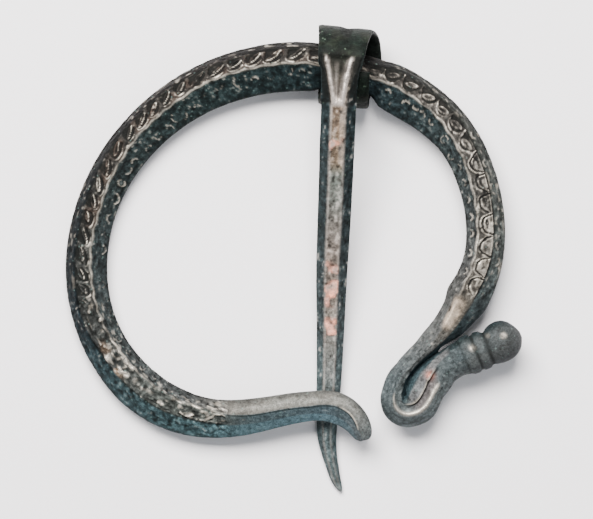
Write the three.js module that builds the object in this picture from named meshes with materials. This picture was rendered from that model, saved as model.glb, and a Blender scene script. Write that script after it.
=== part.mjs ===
// Penannular fibula brooch in cast bronze: an open ring with a plain hooked arm at one end,
// a folded-back knobbed terminal at the other, and a long pin whose flat strap head is
// wrapped once round the ring. Millimetres, +Z up. The brooch lies on its back, face up.

import * as THREE from 'three';

// ---------------------------------------------------------------- driving dimensions
const RING = {
  start: [9.285, -24.492],       // plan position of the hooked arm's end
  heading: 102.6,                // plan heading there, degrees
  height: 4.4,                   // thickness of the decorated bar
  foot: 0.62,                    // flat underside, as a share of each half width
};

// The bar's bending schedule: distance along the bar, and the bend there in degrees per mm.
// Positive bends to the left of travel; travel runs from the hooked arm round to the knob.
const BENDS = [
  [0.0, 8.78], [2.0, 9.27], [4.0, 10.40], [6.0, 10.21], [9.0, 3.04],          // hook
  [13.0, 1.27], [19.0, -2.21],                                                // plain arm
  [27.0, -3.77], [38.0, -2.79], [52.0, -2.48], [66.0, -1.97],                 // left of the ring
  [80.0, -1.93], [94.0, -1.93], [106.0, -2.18], [114.0, -1.74],               // head of the ring
  [122.0, -3.73], [130.0, -1.98], [140.0, -3.86], [146.0, -1.09],             // right of the ring
  [150.0, -2.61], [154.0, 1.97], [157.43, 11.23], [158.93, 10.16],            // leg into the fold
  [159.43, 53.59], [159.98, 154.11], [160.53, 38.28], [161.03, -0.18],        // the fold
  [161.83, -1.13], [164.43, 1.35], [167.43, -5.43], [170.43, -1.60],          // stem
  [178.31, 1.18],                                                             // knob
];
const BAR_LENGTH = 178.31;

// Half width of the bar on the ring's outer side (left of travel).
const HALF_OUTER = table([
  [0.0, 0.30], [0.35, 0.72], [1.0, 1.05], [3.0, 1.54], [5.5, 1.93], [8.0, 2.00], [10.5, 2.20],
  [13.0, 2.38], [18.0, 2.72], [23.0, 2.93], [28.0, 3.10], [33.0, 3.20], [38.0, 3.05],
  [45.0, 2.93], [55.0, 2.95], [65.0, 3.12], [75.0, 3.32], [85.0, 3.50], [95.0, 3.55],
  [98.0, 3.45], [100.5, 3.15], [103.5, 3.05], [106.5, 3.12], [108.5, 3.42], [110.5, 3.50],
  [115.5, 3.42], [120.5, 3.05], [125.5, 2.75], [135.0, 2.75], [140.5, 2.78], [143.0, 2.90],
  [145.5, 2.48], [148.0, 1.95], [150.5, 1.05], [153.0, 0.64], [155.5, 0.40], [159.0, 0.32],
  [159.6, 0.30], [160.2, 0.46], [160.9, 0.90], [161.6, 1.34], [162.3, 1.70], [163.2, 2.06],
  [164.4, 2.26], [166.0, 2.20], [168.6, 2.22], [170.0, 2.36], [170.6, 2.58], [171.3, 2.60],
  [171.8, 2.28], [172.3, 2.54], [172.9, 2.48], [173.5, 2.08], [174.1, 2.52], [174.9, 2.82],
  [175.6, 2.90], [176.3, 2.80], [177.0, 2.44], [177.7, 1.66], [178.1, 0.95], [178.31, 0.40],
]);
// Half width on the ring's inner side (right of travel).
const HALF_INNER = table([
  [0.0, 1.05], [0.35, 1.50], [1.0, 1.85], [3.0, 2.28], [5.5, 2.45], [8.0, 2.20], [10.5, 2.07],
  [13.0, 2.07], [18.0, 2.29], [23.0, 2.60], [28.0, 3.05], [33.0, 3.20], [38.0, 3.10],
  [45.0, 2.93], [55.0, 2.86], [62.0, 2.72], [70.0, 2.82], [80.0, 3.02], [88.0, 3.25],
  [95.0, 3.36], [97.8, 3.30], [100.4, 2.45], [103.5, 2.20], [106.6, 2.16], [108.6, 3.08],
  [110.5, 3.22], [115.5, 2.96], [120.5, 2.80], [125.5, 2.84], [130.5, 2.70], [135.5, 2.70],
  [138.0, 2.80], [140.5, 3.00], [143.0, 3.22], [145.5, 2.62], [148.0, 2.36], [150.5, 2.28],
  [153.0, 2.03], [155.5, 2.08], [157.4, 2.45], [159.0, 2.80], [159.5, 3.05], [160.2, 4.00],
  [160.9, 4.28], [161.6, 4.26], [162.3, 4.05], [163.0, 3.76], [163.7, 3.38], [164.4, 3.12],
  [166.0, 2.76], [167.2, 2.44], [168.6, 2.34], [170.0, 2.60], [170.6, 2.86], [171.3, 2.90],
  [171.8, 2.66], [172.3, 2.88], [172.9, 2.86], [173.5, 2.54], [174.1, 2.70], [174.9, 2.80],
  [175.6, 2.78], [176.3, 2.66], [177.0, 2.34], [177.7, 1.70], [178.1, 1.00], [178.31, 0.45],
]);
// Crest of the bar: the ridge between the carved top facet and the inner facet.
const CREST = table([
  [0.0, 0.0], [10.0, 0.05], [16.0, 0.0], [20.0, -0.35], [22.0, -0.80], [24.0, -1.10], [27.0, -1.40],
  [31.0, -1.60], [36.0, -1.55], [40.0, -1.35], [43.0, -1.10], [46.0, -0.90], [50.0, -0.75],
  [55.0, -0.50], [60.0, -0.45], [64.0, -0.10], [68.0, 0.10], [71.0, 0.32], [76.0, 0.38],
  [80.0, 0.50], [83.0, 0.66], [88.0, 0.55], [97.0, 0.50], [100.0, 0.15], [103.5, 0.0],
  [106.5, 0.15], [109.0, 0.38], [113.0, 0.30], [117.0, 0.10], [119.0, -0.30], [123.0, -0.80],
  [127.0, -1.05], [135.0, -1.20], [139.0, -1.42], [142.0, -1.45], [145.0, -1.20],
  [148.0, -0.75], [154.0, -0.20], [157.5, -0.62], [159.0, -0.95], [159.6, -1.25],
  [160.2, -2.10], [160.9, -2.40], [161.6, -2.40], [162.3, -2.20], [163.0, -1.95],
  [163.7, -1.60], [165.0, -1.20], [167.0, -0.60], [170.0, -0.20], [178.31, 0.0],
]);
// Outer edge of the carved top facet.
const SHOULDER = table([
  [0.0, 0.45], [10.0, 1.00], [16.0, 1.15], [20.0, 1.00], [23.0, 0.72], [27.0, 0.64], [31.0, 0.70],
  [36.0, 0.78], [40.0, 0.88], [43.0, 1.20], [46.0, 1.45], [50.0, 1.42], [55.0, 1.42], [60.0, 1.58],
  [64.0, 1.82], [68.0, 2.08], [74.0, 2.28], [80.0, 2.46], [97.0, 2.46], [100.0, 1.95],
  [103.5, 1.62], [106.5, 1.85], [109.0, 2.46], [115.0, 2.34], [118.0, 2.00], [121.0, 1.58],
  [125.0, 1.16], [130.0, 1.08], [137.0, 0.90], [141.0, 0.68], [144.0, 0.60], [147.0, 0.62],
  [150.5, 0.50], [154.0, 0.22], [157.5, 0.12], [159.6, -0.10], [160.2, -0.75], [160.9, -1.05],
  [161.6, -1.00], [162.3, -0.75], [163.0, -0.50], [163.7, -0.10], [165.0, 0.35], [167.0, 0.80],
  [170.0, 1.10], [178.31, 0.5],
]);
// Thickness of the bar and height of its underside above the table.
const THICKNESS = table([
  [0.0, 1.5], [0.35, 2.0], [1.0, 2.35], [3.0, 2.75], [6.0, 2.95], [13.0, 3.10], [20.0, 3.55],
  [28.0, 4.15], [38.0, RING.height], [97.0, RING.height], [103.5, 4.10], [108.0, 4.25], [111.0, RING.height],
  [142.0, RING.height], [150.0, 4.05], [158.0, 3.85], [165.0, 3.95], [169.0, 4.30],
  [170.6, 5.0], [171.3, 5.1], [171.8, 4.5], [172.3, 5.0], [172.9, 4.9], [173.5, 4.2],
  [174.1, 5.0], [174.9, 5.55], [175.6, 5.7], [176.3, 5.5], [177.0, 4.8], [177.7, 3.3],
  [178.1, 1.9], [178.31, 0.8],
]);
const MID_HEIGHT = table([       // mid-thickness height above the table
  [0.0, 4.15], [1.0, 4.30], [3.0, 4.50], [6.0, 4.60], [10.0, 4.45], [15.0, 3.95], [20.0, 3.35],
  [28.0, 2.85], [36.0, 2.45], [44.0, 2.20], [60.0, 2.20], [75.0, 2.65], [90.0, 3.35],
  [103.5, 3.88], [115.0, 4.02], [130.0, 4.15], [145.0, 4.25], [160.0, 4.20], [178.31, 4.10],
]);
// How round the bar is: 0 is the faceted bar, 1 the turned stem, collars and knob.
const ROUNDNESS = table([[0, 0], [164.0, 0], [167.5, 0.6], [169.5, 1], [178.31, 1]]);
// How far the top facet is hollowed between its shoulder and the crest (the folded terminal).
const HOLLOW = table([[0, 0], [147.0, 0], [156.0, 0.30], [163.0, 0.38], [166.0, 0.15], [169.0, 0], [178.31, 0]]);
// How much the arm's section is a plain two-facet roof (1) and not the three-facet bar (0).
const ROOF = table([[0, 1], [17.0, 1], [27.0, 0], [178.31, 0]]);

// Pin: loop of flat strap round the bar, then a faceted shank to a bent point.
const PIN = {
  axisAt: [7.85, 26.10, 5.37],   // centre of the loop
  axisTurn: -6,                  // plan direction of the loop's axis, degrees
  bore: 4.65,                    // inner radius of the loop
  strap: 0.72,                   // strap thickness in the loop
  lap: 1.05,                     // how far the front panel rides above the tucked end
  tuckedAt: 97,                  // where the tucked end stops, degrees round the axis
};
// Strap edges along the loop's axis (left, right), against the angle round it.
const STRAP_LEFT = table([[97, -3.70], [180, -3.92], [270, -4.44], [360, -4.98], [405, -4.86], [450, -4.50]]);
const STRAP_RIGHT = table([[97, 2.50], [180, 2.90], [225, 3.05], [270, 4.20], [315, 3.70], [360, 2.72], [410, 1.95], [450, 1.36]]);
// Shank: distance from the loop's axis toward the point, centre along the axis, width,
// thickness, and height of its centre above the table.
const SHANK = {
  offset: table([[0, -1.57], [1.03, -1.50], [3.2, -1.38], [6.1, -1.14], [11.2, -0.81], [13.9, -0.61], [20.7, -0.16], [27.1, 0.22], [36.1, 0.98], [42.3, 1.45], [48.7, 1.84], [50.6, 2.06], [52.8, 2.64], [54.5, 3.24], [55.9, 3.78], [56.8, 4.22], [57.45, 4.62]]),
  width: table([[0, 5.86], [1.03, 5.20], [3.2, 4.84], [6.1, 4.70], [11.2, 4.71], [13.9, 4.63], [20.7, 4.49], [27.1, 4.26], [36.1, 3.73], [42.3, 3.38], [48.7, 2.78], [50.6, 2.55], [52.8, 2.10], [54.5, 1.74], [55.9, 1.46], [56.8, 1.12], [57.45, 0.45]]),
  thickness: table([[0, 0.95], [2.6, 1.25], [6.16, 2.05], [11.3, 2.60], [20.0, 2.60], [36.2, 2.40], [44.0, 2.10], [48.8, 1.95], [52.0, 1.70], [54.5, 1.35], [56.5, 0.90], [57.45, 0.40]]),
  height: table([[0, 11.38], [2.6, 11.10], [6.16, 10.25], [11.3, 8.85], [20.0, 6.45], [30.0, 3.75], [36.0, 2.40], [40.0, 1.72], [44.0, 1.34], [48.8, 0.975], [52.0, 0.90], [57.45, 0.58]]),
};
const SHANK_LENGTH = 57.45;

// ---------------------------------------------------------------- helpers
// Smooth monotone interpolation through [x, y] rows.
function table(rows) {
  const n = rows.length, x = rows.map(r => r[0]), y = rows.map(r => r[1]);
  const h = [], d = [], m = new Array(n).fill(0);
  for (let i = 0; i < n - 1; i++) { h.push(x[i + 1] - x[i]); d.push((y[i + 1] - y[i]) / h[i]); }
  for (let i = 1; i < n - 1; i++) {
    if (d[i - 1] * d[i] > 0) {
      const w1 = 2 * h[i] + h[i - 1], w2 = h[i] + 2 * h[i - 1];
      m[i] = (w1 + w2) / (w1 / d[i - 1] + w2 / d[i]);
    }
  }
  m[0] = d[0]; m[n - 1] = d[n - 2];
  return (v) => {
    if (v <= x[0]) return y[0];
    if (v >= x[n - 1]) return y[n - 1];
    let i = 0;
    while (v > x[i + 1]) i++;
    const t = (v - x[i]) / h[i], t2 = t * t, t3 = t2 * t;
    return y[i] * (2 * t3 - 3 * t2 + 1) + m[i] * h[i] * (t3 - 2 * t2 + t)
      + y[i + 1] * (3 * t2 - 2 * t3) + m[i + 1] * h[i] * (t3 - t2);
  };
}

// Plan path of the bar from its bending schedule: position and heading at a distance.
function bentPath(start, heading, bends, length, step = 0.01) {
  const n = Math.round(length / step), px = [start[0]], py = [start[1]], th = [THREE.MathUtils.degToRad(heading)];
  const bend = (s) => {
    let i = 0;
    while (i < bends.length - 2 && s > bends[i + 1][0]) i++;
    const t = (s - bends[i][0]) / (bends[i + 1][0] - bends[i][0]);
    return THREE.MathUtils.degToRad(bends[i][1] + t * (bends[i + 1][1] - bends[i][1]));
  };
  for (let i = 0; i < n; i++) {
    const a = th[i] + bend((i + 0.25) * step) * step / 2;
    px.push(px[i] + Math.cos(a) * step);
    py.push(py[i] + Math.sin(a) * step);
    th.push(th[i] + bend((i + 0.5) * step) * step);
  }
  return (s) => {
    const f = Math.min(Math.max(s / step, 0), n - 1e-9), i = Math.floor(f), t = f - i;
    return { x: px[i] + t * (px[i + 1] - px[i]), y: py[i] + t * (py[i + 1] - py[i]), heading: th[i] + t * (th[i + 1] - th[i]) };
  };
}

// Closed skin over a row of closed sections with the same number of points, ends capped.
function skin(sections) {
  const n = sections[0].length, pos = [], idx = [];
  for (const sec of sections) for (const p of sec) pos.push(...p);
  for (let i = 0; i < sections.length - 1; i++) {
    for (let j = 0; j < n; j++) {
      const a = i * n + j, b = i * n + (j + 1) % n, c = a + n, d = b + n;
      const p = (k) => new THREE.Vector3(pos[3 * k], pos[3 * k + 1], pos[3 * k + 2]);
      // the shorter diagonal keeps the facets crisp
      if (p(a).distanceTo(p(d)) < p(b).distanceTo(p(c))) idx.push(a, b, d, a, d, c);
      else idx.push(a, b, c, b, d, c);
    }
  }
  for (const [k, flip] of [[0, true], [sections.length - 1, false]]) {
    const base = k * n, centre = [0, 0, 0];
    for (let j = 0; j < n; j++) for (let q = 0; q < 3; q++) centre[q] += pos[3 * (base + j) + q] / n;
    const c = pos.length / 3;
    pos.push(...centre);
    for (let j = 0; j < n; j++) {
      const a = base + j, b = base + (j + 1) % n;
      if (flip) idx.push(c, b, a); else idx.push(c, a, b);
    }
  }
  const g = new THREE.BufferGeometry();
  g.setAttribute('position', new THREE.Float32BufferAttribute(pos, 3));
  g.setIndex(idx);
  g.computeVertexNormals();
  return g;
}

// Stations along a length: [from, to, spacing] runs.
function stations(runs) {
  const out = [];
  for (const [from, to, gap] of runs) {
    const n = Math.max(1, Math.round((to - from) / gap));
    for (let i = 0; i < n; i++) out.push(from + (to - from) * i / n);
  }
  out.push(runs[runs.length - 1][1]);
  return out;
}

const lerp = (a, b, t) => a + (b - a) * t;

// ---------------------------------------------------------------- the ring
// Section of the bar: [across, up] pairs, across positive to the outer side, up from mid height.
function barSection(s) {
  const a = HALF_OUTER(s), b = HALF_INNER(s), h = THICKNESS(s), roof = ROOF(s), hollow = HOLLOW(s);
  const top = h / 2, low = -h / 2, side = -0.06 * h;
  const crest = CREST(s);
  const shoulder = Math.min(SHOULDER(s), a - 0.12);
  const onRoof = lerp(top, side, (shoulder - crest) / (a - crest));
  const shoulderUp = lerp(top - 0.10 * h, onRoof, roof);
  const P = {
    outer: [a, side], shoulder: [shoulder, shoulderUp], crest: [crest, top],
    inner: [-b, side], innerFoot: [-b * RING.foot, low], outerFoot: [a * RING.foot, low],
  };
  const mid = (p, q, t) => [lerp(p[0], q[0], t), lerp(p[1], q[1], t)];
  const dip = mid(P.shoulder, P.crest, 0.42); dip[1] -= hollow;
  const facet = [
    P.outer, mid(P.outer, P.shoulder, 0.5), P.shoulder, dip, P.crest,
    mid(P.crest, P.inner, 0.33), mid(P.crest, P.inner, 0.67), P.inner,
    [-b * 0.93, lerp(side, low, 0.50)], P.innerFoot,
    mid(P.innerFoot, P.outerFoot, 0.25), mid(P.innerFoot, P.outerFoot, 0.5), mid(P.innerFoot, P.outerFoot, 0.75),
    P.outerFoot, [a * 0.93, lerp(side, low, 0.50)],
  ];
  const round = ROUNDNESS(s), n = facet.length, c = (a - b) / 2, r = (a + b) / 2;
  return facet.map(([u, v], j) => {
    const t = 2 * Math.PI * (j / n) ;
    return [lerp(u, c + r * Math.cos(t), round), lerp(v, (h / 2) * Math.sin(t), round)];
  });
}

function ringGeometry() {
  const at = bentPath(RING.start, RING.heading, BENDS, BAR_LENGTH);
  const along = stations([
    [0, 0.35, 0.35], [0.35, 1.0, 0.35], [1.0, 11.0, 0.9], [11.0, 27.0, 2.0], [27.0, 96.0, 2.3],
    [96.0, 112.0, 1.6], [112.0, 142.0, 2.2], [142.0, 157.0, 1.25], [157.0, 159.3, 0.75],
    [159.3, 161.0, 0.17], [161.0, 164.4, 0.5], [164.4, 170.0, 0.8], [170.0, 173.5, 0.3],
    [173.5, 176.3, 0.4], [176.3, 178.31, 0.27],
  ]);
  return skin(along.map((s) => {
    const p = at(s), nx = -Math.sin(p.heading), ny = Math.cos(p.heading), z = MID_HEIGHT(s);
    return barSection(s).map(([u, v]) => [p.x + nx * u, p.y + ny * u, z + v]);
  }));
}

// ---------------------------------------------------------------- the pin
// One station of the pin: centre and outward normal in the plane across the loop's axis,
// the strap's edges along the axis, thickness, and how far it has become the faceted shank.
function pinStations() {
  const rows = [], zAxis = PIN.axisAt[2];
  for (const deg of stations([[PIN.tuckedAt, 104, 7], [104, 355, 12], [355, 450, 9.5]])) {
    const t = THREE.MathUtils.degToRad(deg), lift = THREE.MathUtils.smoothstep(deg, 352, 450) * PIN.lap;
    const r = PIN.bore + PIN.strap / 2 + lift;
    const tuck = THREE.MathUtils.smoothstep(deg, PIN.tuckedAt - 4, PIN.tuckedAt + 10);
    rows.push({
      c: [r * Math.cos(t), r * Math.sin(t)], left: STRAP_LEFT(deg), right: STRAP_RIGHT(deg),
      thick: lerp(0.35, PIN.strap, tuck) + (deg > 400 ? (deg - 400) / 50 * 0.15 : 0), shank: 0,
    });
  }
  rows.pop();
  for (const d of stations([[0, 8.0, 0.9], [8.0, 14.0, 1.5], [14.0, 36.0, 3.1], [36.0, 52.0, 2.0], [52.0, 56.5, 0.75], [56.5, SHANK_LENGTH, 0.32]])) {
    const up = SHANK.height(d) - zAxis;
    rows.push({
      c: [-d, up], left: SHANK.offset(d) - SHANK.width(d) / 2, right: SHANK.offset(d) + SHANK.width(d) / 2,
      thick: SHANK.thickness(d), shank: THREE.MathUtils.smoothstep(d, -0.5, 6.0), groove: d,
    });
  }
  // normals from the neighbours
  return rows.map((row, i) => {
    const p = rows[Math.max(i - 1, 0)].c, q = rows[Math.min(i + 1, rows.length - 1)].c;
    const tx = q[0] - p[0], ty = q[1] - p[1], l = Math.hypot(tx, ty);
    return { ...row, n: [ty / l, -tx / l] };
  });
}

function pinGeometry() {
  const turn = THREE.MathUtils.degToRad(PIN.axisTurn), ct = Math.cos(turn), st = Math.sin(turn);
  const place = (along, y, z) => [
    PIN.axisAt[0] + along * ct - y * st, PIN.axisAt[1] + along * st + y * ct, PIN.axisAt[2] + z,
  ];
  return skin(pinStations().map(({ c, n, left, right, thick, shank, groove }) => {
    const w = right - left, mid = (left + right) / 2, h = thick / 2;
    // facet edges across the width: strap nearly full width, shank a narrow top facet
    const ridge = lerp(0.44, 0.20, shank), edge = lerp(h * 0.55, -h * 0.10, shank), foot = lerp(0.44, 0.27, shank);
    // the V between the two ridges that run up from the shank's top facet into the strap
    const vee = groove === undefined ? 0 : 0.35 * THREE.MathUtils.smoothstep(groove, -1.5, 0.5) * (1 - THREE.MathUtils.smoothstep(groove, 2.2, 5.6));
    const sec = [
      [-0.5, edge], [-0.5, -edge * (1 - shank) - 0.10 * h * shank], [-foot, -h], [0, -h], [foot, -h],
      [0.5, -edge * (1 - shank) - 0.10 * h * shank], [0.5, edge], [ridge, h], [0, h - vee], [-ridge, h],
    ];
    return sec.map(([u, v]) => place(mid + u * w, c[0] + n[0] * v, c[1] + n[1] * v));
  }));
}

// ---------------------------------------------------------------- assembly
const bronze = (colour, roughness) => new THREE.MeshStandardMaterial({ color: colour, roughness, metalness: 0.75 });

const brooch = new THREE.Group();
brooch.name = 'fibula_brooch';

const hoop = new THREE.Mesh(ringGeometry(), bronze(0x4f524b, 0.5));
hoop.name = 'hoop';
const pin = new THREE.Mesh(pinGeometry(), bronze(0x565a52, 0.46));
pin.name = 'pin';
brooch.add(hoop, pin);

export default brooch;
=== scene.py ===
import math

import bpy
import numpy as np
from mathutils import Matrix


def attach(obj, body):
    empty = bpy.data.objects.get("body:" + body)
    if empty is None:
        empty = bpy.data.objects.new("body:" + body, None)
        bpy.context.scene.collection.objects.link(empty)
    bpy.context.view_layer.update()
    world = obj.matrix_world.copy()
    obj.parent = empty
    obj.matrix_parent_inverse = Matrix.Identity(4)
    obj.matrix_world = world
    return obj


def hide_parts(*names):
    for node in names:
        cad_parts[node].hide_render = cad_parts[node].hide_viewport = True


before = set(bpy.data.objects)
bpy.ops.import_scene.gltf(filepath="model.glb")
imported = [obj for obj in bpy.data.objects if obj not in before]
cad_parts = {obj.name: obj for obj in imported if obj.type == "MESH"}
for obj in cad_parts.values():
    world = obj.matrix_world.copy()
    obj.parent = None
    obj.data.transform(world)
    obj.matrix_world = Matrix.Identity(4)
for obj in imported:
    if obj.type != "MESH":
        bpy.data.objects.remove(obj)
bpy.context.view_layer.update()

MM = 0.001
LIGHT = 3.1      # light falling on an upward face


# ------------------------------------------------------------------ small helpers
def table(rows):
    """Smooth monotone interpolation through [x, y] rows, on arrays."""
    x = np.array([r[0] for r in rows], float)
    y = np.array([r[1] for r in rows], float)
    h, d = np.diff(x), np.diff(y) / np.diff(x)
    m = np.zeros_like(x)
    for i in range(1, len(x) - 1):
        if d[i - 1] * d[i] > 0:
            w1, w2 = 2 * h[i] + h[i - 1], h[i] + 2 * h[i - 1]
            m[i] = (w1 + w2) / (w1 / d[i - 1] + w2 / d[i])
    m[0], m[-1] = d[0], d[-1]

    def f(v):
        v = np.clip(np.asarray(v, float), x[0], x[-1])
        i = np.clip(np.searchsorted(x, v, side="right") - 1, 0, len(x) - 2)
        t = (v - x[i]) / h[i]
        t2, t3 = t * t, t * t * t
        return (
            y[i] * (2 * t3 - 3 * t2 + 1)
            + m[i] * h[i] * (t3 - 2 * t2 + t)
            + y[i + 1] * (3 * t2 - 2 * t3)
            + m[i + 1] * h[i] * (t3 - t2)
        )

    return f


def ramp(a, b, v):
    """Smooth step from 0 at a to 1 at b."""
    t = np.clip((v - a) / (b - a), 0, 1)
    return t * t * (3 - 2 * t)


def window(a, b, v, soft):
    return ramp(a - soft, a + soft, v) * (1 - ramp(b - soft, b + soft, v))


def line(d, w):
    """A soft line of half width w at distance d."""
    return np.exp(-((d / w) ** 2))


def painted(rgb):
    """The surface colour that looks like the given one (0..255) under the studio light."""
    shown = [0, 9, 20, 43, 65, 90, 116, 136, 161, 184, 202, 217, 230, 239, 255]
    needed = [0, 0.0055, 0.011, 0.031, 0.0625, 0.105, 0.177, 0.25, 0.42, 0.707, 1.19, 2.0, 3.36, 5.66, 14.0]
    c = np.maximum(np.interp(np.asarray(rgb, float), shown, needed) / LIGHT, 1e-4)
    grey = np.exp(np.log(c).mean(-1, keepdims=True))
    return np.clip(grey * (c / grey) ** 1.12, 0, 0.9)


def hash01(ix, iy, iz, seed):
    n = (
        ix.astype(np.int64) * 374761393
        + iy.astype(np.int64) * 668265263
        + iz.astype(np.int64) * 2147483647
        + seed * 1274126177
    ) & 0xFFFFFFFF
    n = ((n ^ (n >> 13)) * 1274126177) & 0xFFFFFFFF
    n = ((n ^ (n >> 16)) * 2246822519) & 0xFFFFFFFF
    return ((n ^ (n >> 15)) & 0xFFFFFF) / float(0xFFFFFF)


def noise(p, size, seed):
    """Value noise in -1..1 with features of the given size (mm)."""
    q = p / size
    i = np.floor(q)
    f = q - i
    f = f * f * (3 - 2 * f)
    out = 0.0
    for dx in (0, 1):
        for dy in (0, 1):
            for dz in (0, 1):
                w = (
                    (f[..., 0] if dx else 1 - f[..., 0])
                    * (f[..., 1] if dy else 1 - f[..., 1])
                    * (f[..., 2] if dz else 1 - f[..., 2])
                )
                out = out + w * hash01(i[..., 0] + dx, i[..., 1] + dy, i[..., 2] + dz, seed)
    return out * 2 - 1


def stations(runs):
    out = []
    for a, b, gap in runs:
        n = max(1, round((b - a) / gap))
        out += [a + (b - a) * i / n for i in range(n)]
    out.append(runs[-1][1])
    return np.array(out)


def band_colours(rows, s):
    """Colours given as [distance, (r, g, b)] rows, blended along the distance."""
    x = [r[0] for r in rows]
    c = painted(np.array([r[1] for r in rows]))
    return np.stack([np.interp(s, x, c[:, k]) for k in range(3)], -1)


def over(base, colour, amount):
    return base + (np.asarray(colour, float) - base) * amount[..., None]


def closed_mesh(name, grid, paint):
    """One closed mesh from a grid of sections, its ends capped, with its painted attributes."""
    n, m = grid.shape[:2]
    caps = [grid[0].mean(0), grid[-1].mean(0)]
    verts = np.concatenate([grid.reshape(-1, 3), caps])
    i = np.arange(n - 1)[:, None] * m
    j = np.arange(m)[None, :]
    k = (j + 1) % m
    quads = np.stack([i + j, i + k, i + m + k, i + m + j], -1).reshape(-1, 4)
    j = np.arange(m)
    k = (j + 1) % m
    first = np.stack([np.full(m, n * m), k, j], -1)
    last = np.stack([np.full(m, n * m + 1), (n - 1) * m + j, (n - 1) * m + k], -1)
    faces = [tuple(q) for q in quads.tolist()] + [tuple(t) for t in np.concatenate([first, last]).tolist()]
    me = bpy.data.meshes.new(name)
    me.from_pydata((verts * MM).tolist(), [], faces)
    me.polygons.foreach_set("use_smooth", np.ones(len(me.polygons), bool))
    for key, field in paint.items():
        if field.ndim == 2:
            a = me.attributes.new(key, "FLOAT", "POINT")
            data = np.concatenate([field.reshape(-1), [field[0].mean(), field[-1].mean()]])
            a.data.foreach_set("value", data.astype(np.float32))
        else:
            a = me.color_attributes.new(key, "FLOAT_COLOR", "POINT")
            data = np.concatenate([field.reshape(-1, 3), [field[0].mean(0), field[-1].mean(0)]])
            data = np.concatenate([data, np.ones((len(data), 1))], 1)
            a.data.foreach_set("color", data.astype(np.float32).reshape(-1))
    me.update()
    ob = bpy.data.objects.new(name, me)
    bpy.context.scene.collection.objects.link(ob)
    return ob


def section_normals(sec):
    """Outward normals of closed plane sections, sec is (stations, columns, 2)."""
    t = np.roll(sec, -1, 1) - np.roll(sec, 1, 1)
    length = np.maximum(np.hypot(t[..., 0], t[..., 1]), 1e-9)
    return np.stack([t[..., 1] / length, -t[..., 0] / length], -1)


def soften(sec, passes):
    for _ in range(passes):
        sec = 0.5 * sec + 0.25 * (np.roll(sec, 1, 1) + np.roll(sec, -1, 1))
    return sec


# ------------------------------------------------------------------ the ring's form
START, HEADING, LENGTH, FOOT, HEIGHT = (9.285, -24.492), 102.6, 178.31, 0.62, 4.4
BENDS = [
    (0.0, 8.78), (2.0, 9.27), (4.0, 10.40), (6.0, 10.21), (9.0, 3.04), (13.0, 1.27), (19.0, -2.21),
    (27.0, -3.77), (38.0, -2.79), (52.0, -2.48), (66.0, -1.97), (80.0, -1.93), (94.0, -1.93),
    (106.0, -2.18), (114.0, -1.74), (122.0, -3.73), (130.0, -1.98), (140.0, -3.86), (146.0, -1.09),
    (150.0, -2.61), (154.0, 1.97), (157.43, 11.23), (158.93, 10.16), (159.43, 53.59),
    (159.98, 154.11), (160.53, 38.28), (161.03, -0.18), (161.83, -1.13), (164.43, 1.35),
    (167.43, -5.43), (170.43, -1.60), (178.31, 1.18),
]
HALF_OUTER = table([
    [0.0, 0.30], [0.35, 0.72], [1.0, 1.05], [3.0, 1.54], [5.5, 1.93], [8.0, 2.00], [10.5, 2.20],
    [13.0, 2.38], [18.0, 2.72], [23.0, 2.93], [28.0, 3.10], [33.0, 3.20], [38.0, 3.05],
    [45.0, 2.93], [55.0, 2.95], [65.0, 3.12], [75.0, 3.32], [85.0, 3.50], [95.0, 3.55],
    [98.0, 3.45], [100.5, 3.15], [103.5, 3.05], [106.5, 3.12], [108.5, 3.42], [110.5, 3.50],
    [115.5, 3.42], [120.5, 3.05], [125.5, 2.75], [135.0, 2.75], [140.5, 2.78], [143.0, 2.90],
    [145.5, 2.48], [148.0, 1.95], [150.5, 1.05], [153.0, 0.64], [155.5, 0.40], [159.0, 0.32],
    [159.6, 0.30], [160.2, 0.46], [160.9, 0.90], [161.6, 1.34], [162.3, 1.70], [163.2, 2.06],
    [164.4, 2.26], [166.0, 2.20], [168.6, 2.22], [170.0, 2.36], [170.6, 2.58], [171.3, 2.60],
    [171.8, 2.28], [172.3, 2.54], [172.9, 2.48], [173.5, 2.08], [174.1, 2.52], [174.9, 2.82],
    [175.6, 2.90], [176.3, 2.80], [177.0, 2.44], [177.7, 1.66], [178.1, 0.95], [178.31, 0.40],
])
HALF_INNER = table([
    [0.0, 1.05], [0.35, 1.50], [1.0, 1.85], [3.0, 2.28], [5.5, 2.45], [8.0, 2.20], [10.5, 2.07],
    [13.0, 2.07], [18.0, 2.29], [23.0, 2.60], [28.0, 3.05], [33.0, 3.20], [38.0, 3.10],
    [45.0, 2.93], [55.0, 2.86], [62.0, 2.72], [70.0, 2.82], [80.0, 3.02], [88.0, 3.25],
    [95.0, 3.36], [97.8, 3.30], [100.4, 2.45], [103.5, 2.20], [106.6, 2.16], [108.6, 3.08],
    [110.5, 3.22], [115.5, 2.96], [120.5, 2.80], [125.5, 2.84], [130.5, 2.70], [135.5, 2.70],
    [138.0, 2.80], [140.5, 3.00], [143.0, 3.22], [145.5, 2.62], [148.0, 2.36], [150.5, 2.28],
    [153.0, 2.03], [155.5, 2.08], [157.4, 2.45], [159.0, 2.80], [159.5, 3.05], [160.2, 4.00],
    [160.9, 4.28], [161.6, 4.26], [162.3, 4.05], [163.0, 3.76], [163.7, 3.38], [164.4, 3.12],
    [166.0, 2.76], [167.2, 2.44], [168.6, 2.34], [170.0, 2.60], [170.6, 2.86], [171.3, 2.90],
    [171.8, 2.66], [172.3, 2.88], [172.9, 2.86], [173.5, 2.54], [174.1, 2.70], [174.9, 2.80],
    [175.6, 2.78], [176.3, 2.66], [177.0, 2.34], [177.7, 1.70], [178.1, 1.00], [178.31, 0.45],
])
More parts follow.
